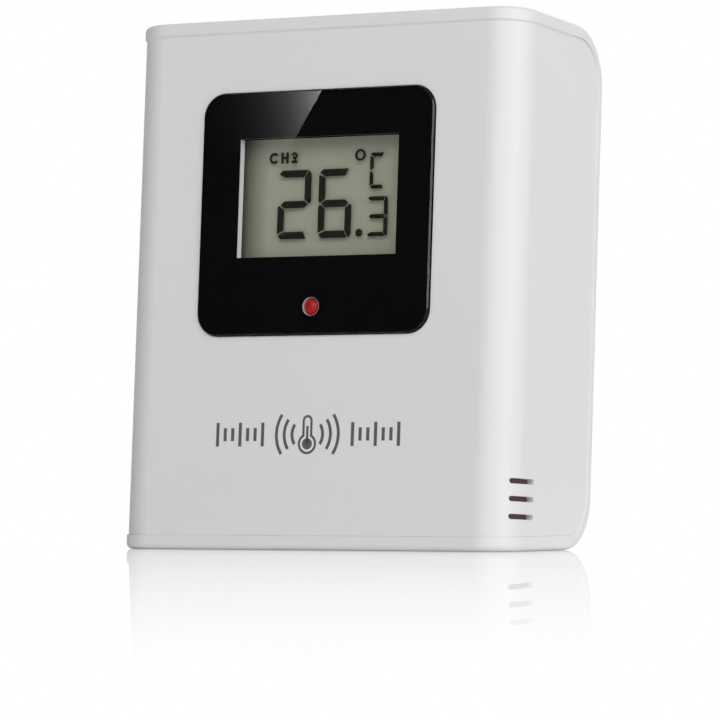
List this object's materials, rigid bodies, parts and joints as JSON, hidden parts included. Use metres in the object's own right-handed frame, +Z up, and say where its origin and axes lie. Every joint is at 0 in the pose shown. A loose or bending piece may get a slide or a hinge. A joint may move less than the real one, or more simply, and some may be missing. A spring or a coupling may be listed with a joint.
{
  "type": "wireless temperature sensor",
  "caption": "Small leaning plastic box with a display window, side air slots and a red indicator; a hinged back door covers the cells and switches.",
  "frame": {"origin": "floor level under the middle of the case", "axes": "+Z up, -Y towards the front with the display, +X to the right seen from the front"},
  "size_m": [0.075, 0.0374, 0.0899],
  "materials": {
    "case_white": "smooth satin moulding",
    "filter_foam": "open-cell brownish foam",
    "window_clear": "polished clear acrylic",
    "mask_black": "even black screen print",
    "tape_white": "thin foam tape",
    "led_red": "diffusing red resin",
    "polariser_film": "grey polarising film",
    "lcd_glass": "clear thin glass",
    "lcd_ink": "dark switched-on segments",
    "reflector_film": "grey-green reflecting film",
    "carrier_white": "plain moulded plastic",
    "contact_rubber": "striped conducting rubber",
    "board_green": "green solder resist over copper",
    "screw_steel": "zinc-plated steel",
    "resin_black": "cast black resin",
    "plated_metal": "nickel-plated sheet",
    "capacitor_sleeve": "shrink sleeve",
    "antenna_wire": "grey insulated wire",
    "bead_resin": "dipped resin bead",
    "switch_black": "fine-grained black plastic",
    "button_grey": "plain grey plastic",
    "cell_sleeve": "printed sleeve over a steel can",
    "lead_red": "soft insulation",
    "lead_black": "soft insulation"
  },
  "bodies": {
    "case": {"front_cover": "case_white", "air_filter": "filter_foam", "rear_housing": "case_white", "battery_well": "case_white", "keyhole_box": "case_white", "display_window": "window_clear", "window_mask": "mask_black", "window_tape": "tape_white", "status_led": "led_red", "lcd_polariser": "polariser_film", "lcd_front_glass": "lcd_glass", "lcd_segments": "lcd_ink", "lcd_rear_glass": "lcd_glass", "lcd_reflector": "reflector_film", "lcd_frame": "carrier_white", "lcd_connector": "contact_rubber", "main_board": "board_green", "board_screws": "screw_steel", "case_screws": "screw_steel", "controller_chip": "resin_black", "crystal": "plated_metal", "smoothing_capacitor": "capacitor_sleeve", "radio_board": "board_green", "radio_resonator": "plated_metal", "antenna": "antenna_wire", "thermistor": "bead_resin", "channel_switch_body": "switch_black", "reset_switch": "switch_black", "unit_switch": "switch_black", "left_cell": "cell_sleeve", "right_cell": "cell_sleeve", "positive_contact": "plated_metal", "negative_contact": "plated_metal", "bridge_contact": "plated_metal", "positive_lead": "lead_red", "negative_lead": "lead_black"},
    "door": {"battery_door": "case_white"},
    "channel_lever": {"channel_switch_lever": "switch_black"},
    "reset_key": {"reset_plunger": "switch_black", "reset_button": "button_grey"},
    "unit_key": {"unit_plunger": "switch_black", "unit_button": "button_grey"}
  },
  "joints": [
    {"name": "door_hinge", "type": "hinge", "parent": "case", "child": "door", "pos_m": [0, 0.01303, 0.01063], "axis": [-1, 0, 0], "range_deg": [0, 85]},
    {"name": "channel_slide", "type": "slide", "parent": "case", "child": "channel_lever", "axis": [0, 0.0689, 0.9976], "range_m": [-0.002, 0.002]},
    {"name": "reset_press", "type": "slide", "parent": "case", "child": "reset_key", "axis": [0, -0.9976, 0.0689], "range_m": [0, 0.0005], "stiffness_N_per_m": 600},
    {"name": "unit_press", "type": "slide", "parent": "case", "child": "unit_key", "axis": [0, -0.9976, 0.0689], "range_m": [0, 0.0005], "stiffness_N_per_m": 600}
  ]
}
